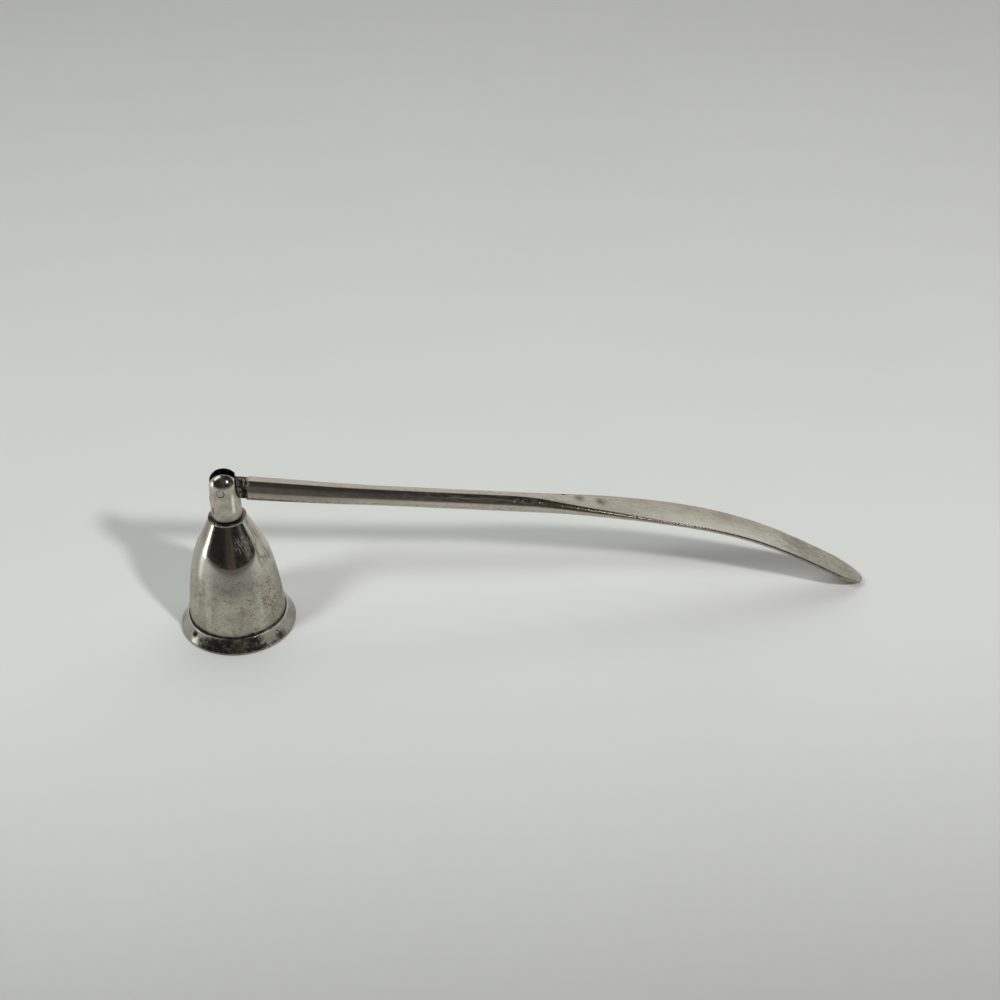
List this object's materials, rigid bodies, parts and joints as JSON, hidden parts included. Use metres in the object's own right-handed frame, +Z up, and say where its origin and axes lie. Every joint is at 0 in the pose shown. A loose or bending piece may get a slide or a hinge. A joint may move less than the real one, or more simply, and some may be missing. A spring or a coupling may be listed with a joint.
{
  "type": "candle snuffer",
  "caption": "Silver-plated candle snuffer: a flared bell with a slotted, domed hinge post, and a rod handle that swings on a pin and flattens into a curved, round-tipped blade.",
  "frame": {"origin": "centre of the bell's mouth, level with the foot of the rim", "axes": "+Z up along the bell's axis, +X along the handle towards its tip"},
  "size_m": [0.2325, 0.038, 0.0605],
  "materials": {
    "cup_plate": "worn silver plate, cloudy with tarnish over the lower body and bright on the cone",
    "ring_plate": "polished silver plate, dark in the groove",
    "post_plate": "worn silver plate, satin on the post and bright on the dome",
    "handle_plate": "silver plate with fine scratches and a few tarnish spots",
    "fixings": "dull brass"
  },
  "bodies": {
    "bell": {"bell_cup": "cup_plate", "rim_ring": "ring_plate", "crown_collar": "post_plate", "hinge_post": "post_plate", "hinge_pin": "post_plate", "crown_screw": "fixings", "screw_washer": "fixings"},
    "handle": {"handle": "handle_plate"}
  },
  "joints": [
    {"name": "handle_hinge", "type": "hinge", "parent": "bell", "child": "handle", "pos_m": [-0.001, 0, 0.0551], "axis": [0, -1, 0], "range_deg": [-10, 180]}
  ]
}
